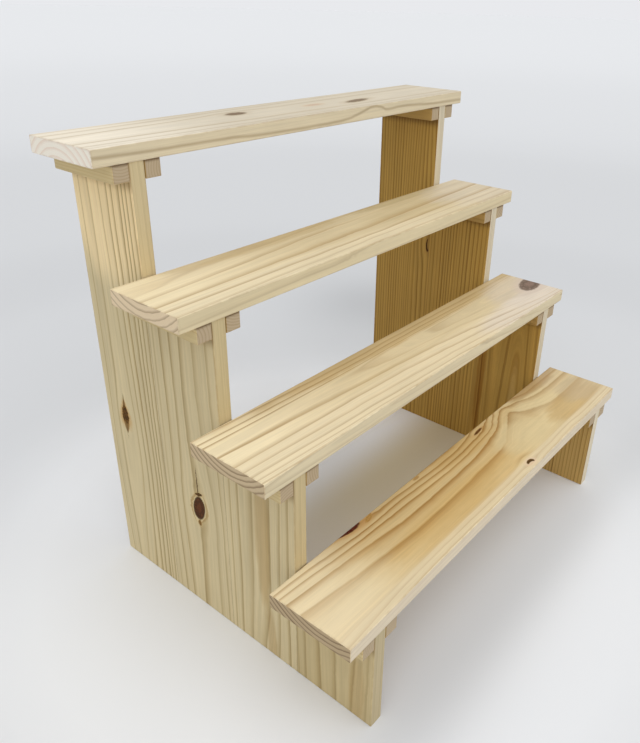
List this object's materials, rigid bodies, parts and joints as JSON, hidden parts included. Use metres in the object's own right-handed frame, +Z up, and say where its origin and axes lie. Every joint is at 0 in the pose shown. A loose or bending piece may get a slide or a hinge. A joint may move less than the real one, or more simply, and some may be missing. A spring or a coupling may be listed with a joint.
{
  "type": "tiered display stand",
  "caption": "Stepped display stand of pine boards: loose shelves with paired cleats drop over two stepped, edge-glued side panels.",
  "frame": {"origin": "middle of the footprint on the floor: centre of the bounding box's bottom face", "axes": "+X along the shelves towards the stand's right side, -Y towards the front and lowest step, +Z up"},
  "size_m": [0.692, 0.4576, 0.603],
  "materials": {
    "side_timber": "planed, unfinished",
    "shelf_timber": "planed, unfinished",
    "cleat_timber": "planed, unfinished",
    "brad_steel": "bright wire"
  },
  "bodies": {
    "side_panels": {"left_side_board_1": "side_timber", "left_side_board_2": "side_timber", "left_side_board_3": "side_timber", "left_side_board_4": "side_timber", "right_side_board_1": "side_timber", "right_side_board_2": "side_timber", "right_side_board_3": "side_timber", "right_side_board_4": "side_timber"},
    "shelf_1": {"shelf_1_board": "shelf_timber", "shelf_1_left_outer_cleat": "cleat_timber", "shelf_1_left_inner_cleat": "cleat_timber", "shelf_1_right_inner_cleat": "cleat_timber", "shelf_1_right_outer_cleat": "cleat_timber", "shelf_1_brads": "brad_steel"},
    "shelf_2": {"shelf_2_board": "shelf_timber", "shelf_2_left_outer_cleat": "cleat_timber", "shelf_2_left_inner_cleat": "cleat_timber", "shelf_2_right_inner_cleat": "cleat_timber", "shelf_2_right_outer_cleat": "cleat_timber", "shelf_2_brads": "brad_steel"},
    "shelf_3": {"shelf_3_board": "shelf_timber", "shelf_3_left_outer_cleat": "cleat_timber", "shelf_3_left_inner_cleat": "cleat_timber", "shelf_3_right_inner_cleat": "cleat_timber", "shelf_3_right_outer_cleat": "cleat_timber", "shelf_3_brads": "brad_steel"},
    "shelf_4": {"shelf_4_board": "shelf_timber", "shelf_4_left_outer_cleat": "cleat_timber", "shelf_4_left_inner_cleat": "cleat_timber", "shelf_4_right_inner_cleat": "cleat_timber", "shelf_4_right_outer_cleat": "cleat_timber", "shelf_4_brads": "brad_steel"}
  },
  "joints": [
    {"name": "shelf_1_lift", "type": "slide", "parent": "side_panels", "child": "shelf_1", "axis": [0, 0, 1], "range_m": [0, 0.1]},
    {"name": "shelf_2_lift", "type": "slide", "parent": "side_panels", "child": "shelf_2", "axis": [0, 0, 1], "range_m": [0, 0.1]},
    {"name": "shelf_3_lift", "type": "slide", "parent": "side_panels", "child": "shelf_3", "axis": [0, 0, 1], "range_m": [0, 0.1]},
    {"name": "shelf_4_lift", "type": "slide", "parent": "side_panels", "child": "shelf_4", "axis": [0, 0, 1], "range_m": [0, 0.1]}
  ]
}
